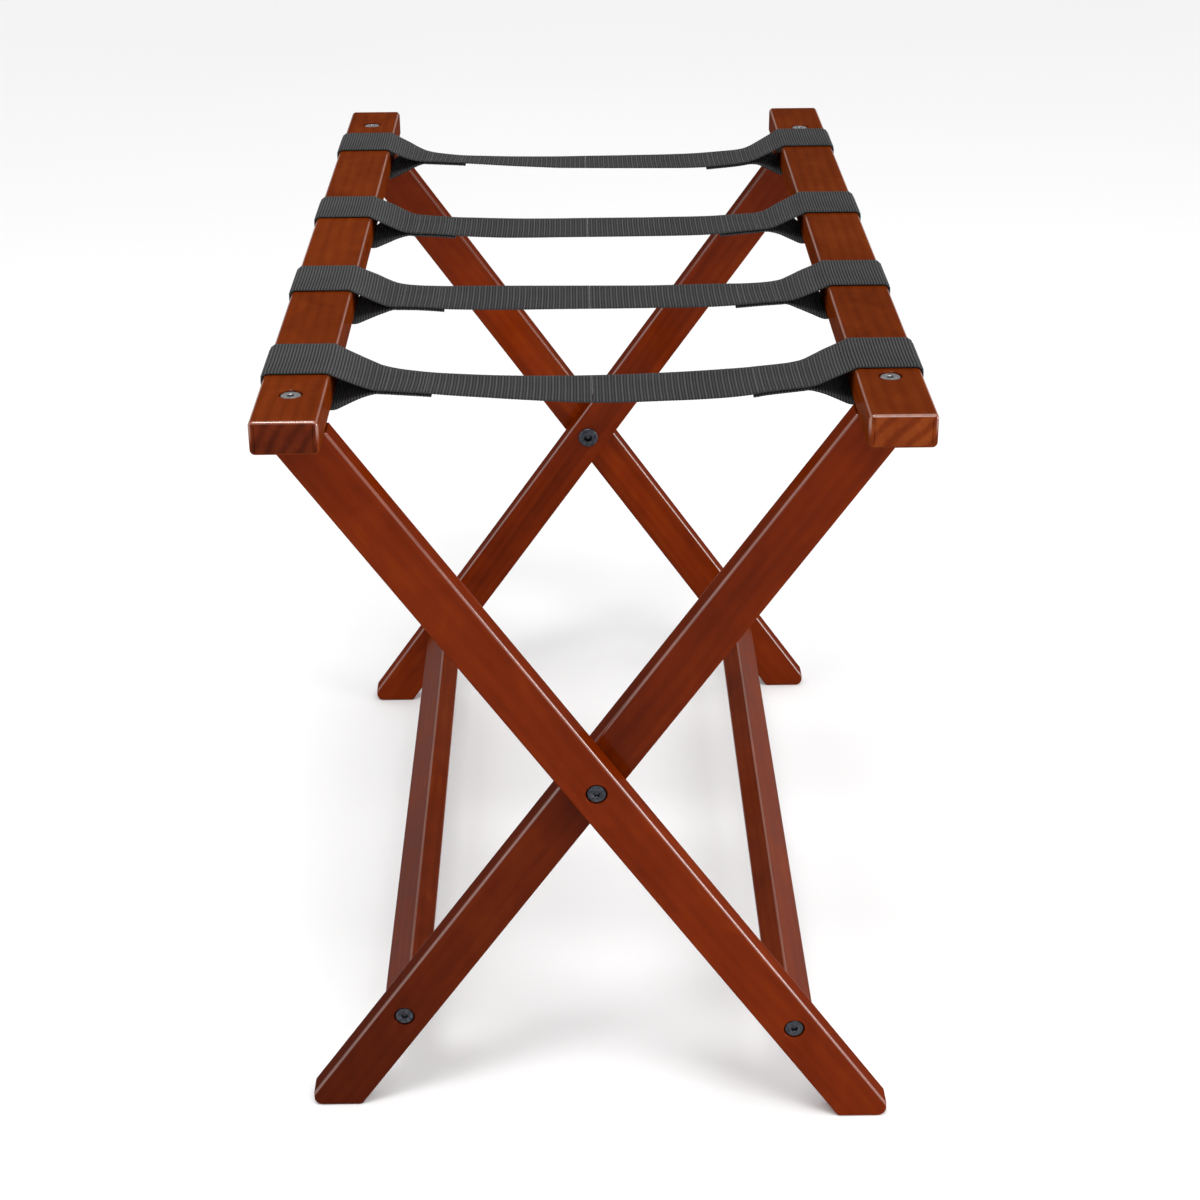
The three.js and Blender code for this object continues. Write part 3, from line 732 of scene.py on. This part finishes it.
INSERT = sleeve(THREAD_BORE_R, INSERT_R, INSERT_LENGTH, 6)
for word, end in (("front", -1), ("rear", 1)):
    out = (0, end, 0)
    for rail_word, side, leg_box, body in (
        ("left", -1, OUTER_LEG, "outer_frame"), ("right", 1, INNER_LEG, "inner_frame"),
    ):
        y = end * (leg_box[0].y + leg_box[1].y) / 2
        x = side * RAIL_MID
        bolt(f"{rail_word}_rail_screw_{word}", f"{rail_word}_rail_bolt_{word}",
             Matrix.Translation((x, y, RAIL_TOP - SUNK)), BOLT_LENGTH, zinc, body)
        turned(f"{rail_word}_rail_sleeve_{word}", f"{rail_word}_rail_insert_{word}", INSERT,
               Matrix.Translation((x, y, RAIL_BOTTOM - INSERT_SUNK)), brass, body)
    for bar_word, side, leg_box, body in (
        ("right", 1, OUTER_LEG, "outer_frame"), ("left", -1, INNER_LEG, "inner_frame"),
    ):
        x = side * STRETCHER.x
        bolt(f"{bar_word}_stretcher_screw_{word}", f"{bar_word}_stretcher_bolt_{word}",
             along(out, (x, end * (leg_box[1].y - SUNK), STRETCHER.z)), BOLT_LENGTH, black, body)
        turned(f"{bar_word}_stretcher_sleeve_{word}", f"{bar_word}_stretcher_insert_{word}", INSERT,
               along(out, (x, end * (leg_box[0].y - FIT - INSERT_SUNK), STRETCHER.z)), brass, body)
    bolt(f"pivot_screw_{word}", f"pivot_bolt_{word}",
         along(out, (0, end * (OUTER_LEG[1].y - SUNK), PIVOT_Z)), PIVOT_BOLT_LENGTH, black, "outer_frame")
    inner_face, outer_face = INNER_LEG[1].y + FIT, OUTER_LEG[0].y - FIT
    t, c, r, bore = outer_face - inner_face, WASHER_CHAMFER, WASHER_R, THREAD_BORE_R
    turned(f"pivot_spacer_{word}", f"pivot_washer_{word}",
           [(bore, 0), (bore, t), (r - c, t), (r, t - c), (r, c), (r - c, 0), (bore, 0)],
           along(out, (0, end * inner_face, PIVOT_Z)), nylon, "outer_frame", 64)
    f, bottom = NUT_FLANGE_T, -NUT_FLANGE_T - NUT_BARREL
    turned(f"pivot_barrel_{word}", f"pivot_nut_{word}",
           [(bore, 0), (bore, bottom), (NUT_R, bottom), (NUT_R, -f), (NUT_FLANGE_R, -f),
            (NUT_FLANGE_R, -0.7 * MM), (NUT_FLANGE_R - 0.4 * MM, -0.25 * MM), (NUT_FLANGE_R - 1.1 * MM, 0),
            (bore + 0.6 * MM, 0), (bore, 0)],
           along((0, -end, 0), (0, end * (INNER_LEG[0].y - FIT - f), PIVOT_Z)), black, "inner_frame", 64)


# ---------------------------------------------------------------- webbing
# Paths are worked out in mm, as (distance in from the rail's inner side, height above the rail tops).
# How far the webbing's upper surface hangs below the rail tops, by strap and side: along its rear edge
# and along its front edge, at the stations in from the rail. The straps hang a little twisted.
STATIONS = (12.5, 20.5, 25.5, 32.5, 40.5, 50.5, 58.5, 70.5, 90.5, 110.5, 130.5, 150.5)
HANG = {
    (1, "left"): ((5.6, 9.6, 12.0, 14.0, 15.4, 16.7, 17.5, 18.3, 19.4, 20.0, 20.2, 20.1),
                  (4.7, 7.9, 9.2, 9.6, 10.2, 10.9, 11.6, 12.7, 14.2, 15.7, 17.1, 18.0)),
    (1, "right"): ((5.0, 9.3, 11.8, 13.4, 14.4, 15.4, 16.2, 17.0, 18.2, 19.1, 19.8, 20.1),
                   (4.8, 8.6, 9.8, 10.7, 11.6, 12.8, 14.2, 15.6, 16.8, 17.4, 18.0, 18.0)),
    (2, "left"): ((4.5, 8.5, 10.5, 11.8, 12.5, 12.9, 13.1, 13.1, 13.2, 13.4, 13.6, 13.8),
                  (5.2, 8.9, 9.7, 9.9, 10.1, 10.8, 11.5, 12.0, 12.3, 12.4, 12.3, 12.3)),
    (2, "right"): ((4.6, 8.7, 11.0, 12.3, 13.0, 13.4, 13.4, 13.5, 13.8, 14.1, 14.0, 13.8),
                   (4.6, 7.7, 8.6, 9.1, 9.6, 10.4, 11.1, 11.8, 12.2, 12.2, 12.3, 12.3)),
    (3, "left"): ((4.6, 9.0, 11.3, 12.5, 13.2, 14.0, 14.5, 14.9, 15.6, 16.0, 16.1, 16.0),
                  (5.4, 9.1, 10.2, 10.8, 11.1, 11.8, 12.6, 13.4, 14.3, 14.5, 14.4, 14.4)),
    (3, "right"): ((5.6, 10.2, 12.5, 13.7, 14.2, 14.7, 15.2, 15.6, 15.8, 16.0, 16.0, 16.0),
                   (5.0, 8.8, 9.9, 10.7, 11.4, 12.4, 13.2, 13.8, 14.2, 14.3, 14.4, 14.4)),
    (4, "left"): ((5.8, 10.5, 12.8, 14.5, 15.6, 16.7, 17.2, 17.6, 18.2, 18.5, 18.6, 18.4),
                  (5.0, 7.3, 7.8, 8.1, 8.5, 9.0, 9.5, 10.3, 11.7, 12.8, 13.8, 14.1)),
    (4, "right"): ((6.6, 11.3, 13.4, 14.7, 15.4, 16.2, 16.8, 17.4, 17.9, 18.1, 18.3, 18.4),
                   (5.2, 9.0, 10.6, 11.9, 12.8, 13.7, 14.4, 14.8, 14.8, 14.6, 14.4, 14.1)),
}
# the layer that comes back from under the rail to meet the span, and the lap sewn beneath the span
LOWER = [(-2.7, -21.05), (-0.4, -20.7), (2, -19.6), (6, -18.0), (12, -15.7), (18, -14.0)]
LAP_START, LAP_END = 26.0, 58.0
STITCH_ROWS = (29.0, 31.5, 51.5, 54.5)
LAYER = 1.56  # from the middle of one layer to the middle of the next
WRAP_GAP = 1.05  # from the rail's surface to the middle of the webbing round it
MIRROR_STATION = 171.0  # the other half's last but one station, seen across mid-span
ROWS_PER_RIB = 7
VALLEY_DEPTH, RIB_HEIGHT = 0.30, 0.42
RIB_BOW = 0.35  # how far the ribs bow along the strap
EDGE_SCALLOP, EDGE_WAVER = 0.16, 0.10
CUP = 0.18  # how far the span's edges curl up
STITCH_PULL = 0.2
INSIDE_SHADE, RIGHT_WRAP_SHADE = 0.8, 0.10  # off the tone of the ribs, where less light falls
PART_AT = -20  # the span and the return meet here, under the rail


def resample(points, gap=0.05):
    """A dense smooth curve through points (a centripetal Catmull-Rom spline), with its arc length."""
    p = np.asarray(points, float)
    p = np.vstack([2 * p[0] - p[1], p, 2 * p[-1] - p[-2]])
    out = []
    for i in range(1, len(p) - 2):
        p0, p1, p2, p3 = p[i - 1 : i + 3]
        d1, d2, d3 = (max(np.linalg.norm(b - a), 1e-9) ** 0.5 for a, b in ((p0, p1), (p1, p2), (p2, p3)))
        m1 = (p2 - p1) + d2 * ((p1 - p0) / d1 - (p2 - p0) / (d1 + d2))
        m2 = (p2 - p1) + d2 * ((p3 - p2) / d3 - (p3 - p1) / (d2 + d3))
        t = np.linspace(0, 1, 24, endpoint=False)[:, None]
        out.append((2 * t**3 - 3 * t**2 + 1) * p1 + (t**3 - 2 * t**2 + t) * m1
                   + (-2 * t**3 + 3 * t**2) * p2 + (t**3 - t**2) * m2)
    out.append(p[-2][None])
    path = np.vstack(out)
    s = np.concatenate([[0], np.cumsum(np.linalg.norm(np.diff(path, axis=0), axis=1))])
    at = np.arange(0, s[-1], gap)
    return np.column_stack([np.interp(at, s, path[:, k]) for k in (0, 1)]), at


def perpendicular(path):
    """Unit vectors across a path, towards its right-hand side."""
    t = np.gradient(path, axis=0)
    t /= np.linalg.norm(t, axis=1)[:, None]
    return np.column_stack([t[:, 1], -t[:, 0]])


def profile(index, word):
    """By distance in: height of the upper layer's middle, and its twist (rise per mm rearwards)."""
    rear, front = (-np.array(h) for h in HANG[(index, word)])
    other_rear, other_front = (-np.array(h) for h in HANG[(index, "left" if word == "right" else "right")])
    s = np.concatenate([STATIONS, [MIRROR_STATION]])
    mean = (rear + front) / 2 - WEB_T / MM / 2
    beyond = (other_rear[-2] + other_front[-2]) / 2 - WEB_T / MM / 2
    twist = (rear - front) / (WEB_W / MM)
    twist_beyond = (other_rear[-2] - other_front[-2]) / (WEB_W / MM)
    return s, np.append(mean, beyond), np.append(twist, twist_beyond)


def strap_path(index, word):
    """The webbing's middle line from mid-span over the rail and back, its arc length, and the span's line."""
    s, mean, _ = profile(index, word)
    gap = WRAP_GAP
    upper = [(-2.7, gap), (-0.6, 0.65), (1.5, -0.5), *zip(s, mean)]
    width, height, corner = (RAIL_OUTER - RAIL_INNER) / MM, (RAIL_TOP - RAIL_BOTTOM) / MM, RAIL_CORNER / MM
    r = corner + gap
    points = upper[::-1] + [(-10, gap), (-20, gap), (-30, gap)]
    quarter = [math.pi / 2 * k / 6 for k in range(7)]
    points += [(-(width - corner) - r * math.sin(a), -corner + r * math.cos(a)) for a in quarter]
    points += [(-(width + gap), -height / 2)]
    points += [(-(width - corner) - r * math.cos(a), corner - height - r * math.sin(a)) for a in quarter]
    points += [(x, -height - gap) for x in (-30, -20, -10)] + LOWER
    line, _ = resample(upper)
    under = line + perpendicular(line) * LAYER
    lap = [tuple(p) for p in under if LAP_START <= p[0] <= LAP_END]
    path, at = resample(points + lap[:: len(lap) // 12])
    middle = at[np.argmax(path[:, 0] < RAIL_INNER / MM)]
    rows = np.arange(middle, at[-1], RIB / MM / ROWS_PER_RIB)
    return np.column_stack([np.interp(rows, at, path[:, k]) for k in (0, 1)]), rows - middle, line


def webbing_piece(name, index, word, side, y, part):
    """Half of a strap: its span and the wrap over the rail, or its return under the rail and the sewn lap."""
    path, dist, _ = strap_path(index, word)
    s, _, twist = profile(index, word)
    normal = -perpendicular(path)
    if normal[len(path) // 6, 1] < 0:
        normal = -normal
    rib = RIB / MM
    columns = 18
    v = np.linspace(-1, 1, columns)
    ring = np.array([(q, 1) for q in v] + [(q, -1) for q in v[::-1]])
    n_rows, n_cols = len(path), len(ring)
    half_w, half_t = WEB_W / MM / 2, WEB_T / MM / 2
    bow = RIB_BOW * (1 - ring[:, 0] ** 2)
    # a valley at mid-span, with the alternate ribs carried on across it
    first_rib = 0.5 if side > 0 else 1.5
    phase = (dist[:, None] + bow[None, :] * np.clip(dist[:, None] / 30, 0, 1)) / rib + first_rib
    main = 0.5 + 0.5 * np.cos(2 * math.pi * phase)
    second = 0.5 + 0.5 * np.cos(math.pi * phase)
    span = np.clip((path[:, 0] - 4) / 18, 0, 1)[:, None]
    ridge = main ** 0.9 * (1 - span * 0.42 * (1 - second))
    other = (0.5 - 0.5 * np.cos(2 * math.pi * phase)) ** 0.9
    # the ribs' height, which shapes the ribs and also paints them lighter on top and darker in the valleys
    rib_lift_and_shade = np.where(ring[None, :, 1] > 0, ridge, other)
    edge = np.abs(ring[:, 0])
    thin = np.interp(edge, [0, 0.93, 0.975, 1.0], [1, 1, 0.82, 0.4])
    height = (half_t - VALLEY_DEPTH + RIB_HEIGHT * rib_lift_and_shade) * thin[None, :]
    under = dist > dist[np.argmin(path[:, 0])]
    # painted shade: the inner face of the loop under the span is coloured near black, as it lies in shadow
    shaded_inside = under[:, None] & (ring[None, :, 1] > 0) & (path[:, :1] > 1) & (path[:, :1] < LAP_START)
    # stitching pulls the layers together
    stacked = (path[:, 0] > LAP_START - 1) & (path[:, 0] < LAP_END)
    pull = sum(np.exp(-((path[:, 0] - row) / 0.9) ** 2) for row in STITCH_ROWS) * stacked
    outer_face = np.where(under, -1, 1)[:, None] * ring[None, :, 1] > 0
    height = height - np.where(outer_face, STITCH_PULL * pull[:, None] * (edge[None, :] < 0.9), 0)
    rng = np.random.default_rng(int(abs(y) * 1000) + (side > 0))
    waver = np.convolve(rng.normal(0, 1, n_rows + 80), np.hanning(81) / 40, "valid")[:n_rows] * EDGE_WAVER
    scallop = EDGE_SCALLOP * (2 * np.abs((dist / rib) % 1 - 0.5)) + waver * np.clip(dist / 20, 0, 1)
    across = ring[None, :, 0] * (half_w - 0.2)
    across = across + np.sign(ring[None, :, 0]) * scallop[:, None] * (edge[None, :] > 0.9)
    cup = CUP * (ring[None, :, 0] ** 2) * span
    away = height * ring[None, :, 1] + cup
    inboard = path[:, :1] + normal[:, :1] * away
    tilt = np.interp(path[:, 0], np.concatenate([[0.0], s]), np.concatenate([[0.0], twist]))
    low_tilt = np.interp(path[:, 0], [-2, 2, 12, 22], [0, 0.075, 0.045, 0])
    tilt += np.where(under, low_tilt, 0) * (path[:, 0] < 22)
    tilt = np.convolve(np.pad(tilt, 12, "edge"), np.hanning(27)[1:-1] / np.hanning(27).sum(), "valid")
    h = path[:, 1:] + normal[:, 1:] * away + tilt[:, None] * across
    x = side * (RAIL_INNER - inboard * MM)
    # painted shade: the colour tone follows the ribs' height, darkened on the loop's inner face and on the
    # right wraps near the rail
    tone = np.where(shaded_inside, rib_lift_and_shade * 0.3 - INSIDE_SHADE, rib_lift_and_shade)
    tone = tone - RIGHT_WRAP_SHADE * (side > 0) * (path[:, :1] < 6)
    # both parts share the row where they meet
    meet = int(np.argmax(under & (path[:, 0] > PART_AT)))
    rows = slice(0, meet + 1) if part == "webbing" else slice(meet, n_rows)
    dist, across, h, x, tone = dist[rows], across[rows], h[rows], x[rows], tone[rows]
    n_rows = len(dist)
    verts = np.stack([x, y + across * MM, RAIL_TOP + h * MM], -1).reshape(-1, 3)
    faces = [tuple(f) for f in grid_faces(n_rows, n_cols, True).tolist()]
    for base in (0, (n_rows - 1) * n_cols):
        last = base + n_cols - 1
        faces += [(base + k, base + k + 1, last - 1 - k, last - k) for k in range(columns - 1)]
    obj = new_object(name, verts, faces)
    fix_normals(obj)
    set_attribute(obj, "web", np.stack([
        np.broadcast_to(dist[:, None] * MM, x.shape), across * MM, np.broadcast_to(ring[None, :, 1], x.shape),
    ], -1).reshape(-1, 3))
    set_attribute(obj, "rib_lift_and_shade", tone.reshape(-1), "FLOAT")
    obj.data.materials.append(webbing)
    for p in obj.data.polygons:
        p.use_smooth = True
    return obj


def stitches(name, index, word, side, y, body):
    """Rows of thread through both layers of the lap, seen above and below."""
    _, _, line = strap_path(index, word)
    s, _, twist = profile(index, word)
    rng = np.random.default_rng(int(abs(y) * 1000) + 17)
    verts, faces = [], []
    pitch, length, radius = 3.1, 2.35, 0.27
    sides, rings = 8, 7
    for row in STITCH_ROWS:
        k = int(np.argmin(np.abs(line[:, 0] - row)))
        t = line[k + 1] - line[k - 1]
        t /= np.linalg.norm(t)
        up = np.array((-t[1], t[0])) if t[0] > 0 else np.array((t[1], -t[0]))
        slope = np.interp(row, s, twist)
        for face in (1, -1):
            base = line[k] + up * (0.62 if face > 0 else -(0.62 + LAYER))
            for c in np.arange(-21.0, 21.01, pitch) + (0 if face > 0 else pitch / 2):
                skew = rng.normal(0, 0.05)
                first = len(verts)
                for i in range(rings):
                    q = i / (rings - 1) * 2 - 1
                    swell = math.sqrt(max(0.02, 1 - q * q * 0.98))
                    dip = -0.28 * q ** 4 * face
                    for j in range(sides):
                        a = j / sides * 2 * math.pi
                        across = c + q * length / 2
                        p = base + t * (radius * swell * math.cos(a) + skew * q * length)
                        p = p + up * (radius * swell * math.sin(a) * 0.8 + dip)
                        verts.append((
                            side * (RAIL_INNER - p[0] * MM), y + across * MM,
                            RAIL_TOP + (p[1] + slope * across) * MM,
                        ))
                faces += [tuple(first + i for i in f) for f in grid_faces(rings, sides, True).tolist()]
                faces.append(tuple(range(first, first + sides))[::-1])
                faces.append(tuple(range(first + (rings - 1) * sides, first + rings * sides)))
    obj = new_object(name, verts, faces)
    fix_normals(obj)
    for p in obj.data.polygons:
        p.use_smooth = True
    obj.data.materials.append(thread)
    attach(obj, body)


webbing = webbing_material()
thread = thread_material()
for i in (1, 2, 3, 4):
    lo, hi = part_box(f"strap{i}_right_loop")
    y = (lo.y + hi.y) / 2
    for word, side, rail_body, half_body in (
        ("left", -1, "outer_frame", "left_strap_halves"), ("right", 1, "inner_frame", "right_strap_halves"),
    ):
        # the span bends sharply over the rail's edge, and the return in a longer curve clear of the rail
        for part, bend in (("webbing", 9 * MM), ("return", 26 * MM)):
            piece = webbing_piece(f"strap{i}_{word}_{part}", i, word, side, y, part)
            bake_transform(piece)
            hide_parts(f"strap{i}_{word}_loop", f"strap{i}_{word}_run")
        stitches(f"strap{i}_{word}_stitching", i, word, side, y, half_body)

# ---------------------------------------------------------------- stage, lights and camera
floor = new_object("floor", [(-14, -10, 0), (14, -10, 0), (14, 22, 0), (-14, 22, 0)], [(0, 1, 2, 3)])
floor.location.z = -0.2 * MM  # just under the feet
floor.data.materials.append(floor_material())


def area_light(name, at, target, size_x, size_y, power):
    data = bpy.data.lights.new(name, "AREA")
    data.shape = "RECTANGLE"
    data.size, data.size_y = size_x, size_y
    data.energy = power
    obj = bpy.data.objects.new(name, data)
    obj.location = at
    obj.rotation_euler = (Vector(target) - Vector(at)).to_track_quat("-Z", "Y").to_euler()
    bpy.context.scene.collection.objects.link(obj)


area_light("right_box", (2.2, -0.85, 0.55), (0, -0.2, 0.3), 1.2, 0.9, 30)
area_light("left_fill", (-2.6, -1.2, 1.0), (0, 0, 0.3), 1.4, 1.4, 11)
area_light("front_fill", (0.8, -3.0, 1.7), (0, 0, 0.3), 1.4, 1.0, 18)
area_light("top_front", (-0.2, -1.1, 2.5), (0, -0.1, 0.4), 0.7, 0.5, 22)

# a very soft overhead light
SKY_ENERGY, SKY_ANGLE = 1.25, 70
SKY_TILT = (14, 10, 0)
sky = bpy.data.lights.new("sky_panel", "SUN")
sky.energy = SKY_ENERGY
sky.angle = math.radians(SKY_ANGLE)
sky_object = bpy.data.objects.new("sky_panel", sky)
sky_object.rotation_euler = [math.radians(a) for a in SKY_TILT]
bpy.context.scene.collection.objects.link(sky_object)

WORLD_STRENGTH = 0.6
world = bpy.data.worlds.new("studio")
world.use_nodes = True
background = world.node_tree.nodes["Background"]
background.inputs["Color"].default_value = (1, 1, 1, 1)
background.inputs["Strength"].default_value = WORLD_STRENGTH
bpy.context.scene.world = world
bpy.context.scene.view_settings.view_transform = "Standard"

# the photo's camera, fitted to the rack's corners
CAMERA_AT = (-0.00932, -1.48937, 0.96401)
CAMERA_PITCH, CAMERA_YAW, CAMERA_ROLL = 26.235, 0.594, -0.421
CAMERA_LENS, CAMERA_SENSOR = 67.84, 36
camera_data = bpy.data.cameras.new("camera")
camera_data.sensor_width = CAMERA_SENSOR
camera_data.lens = CAMERA_LENS
camera_data.clip_start, camera_data.clip_end = 0.05, 50
camera = bpy.data.objects.new("camera", camera_data)
turn = Euler((math.radians(90 - CAMERA_PITCH), 0, math.radians(-CAMERA_YAW))).to_matrix()
turn = turn @ Matrix.Rotation(math.radians(CAMERA_ROLL), 3, "Z")
camera.matrix_world = Matrix.Translation(CAMERA_AT) @ turn.to_4x4()
bpy.context.scene.collection.objects.link(camera)
bpy.context.scene.camera = camera
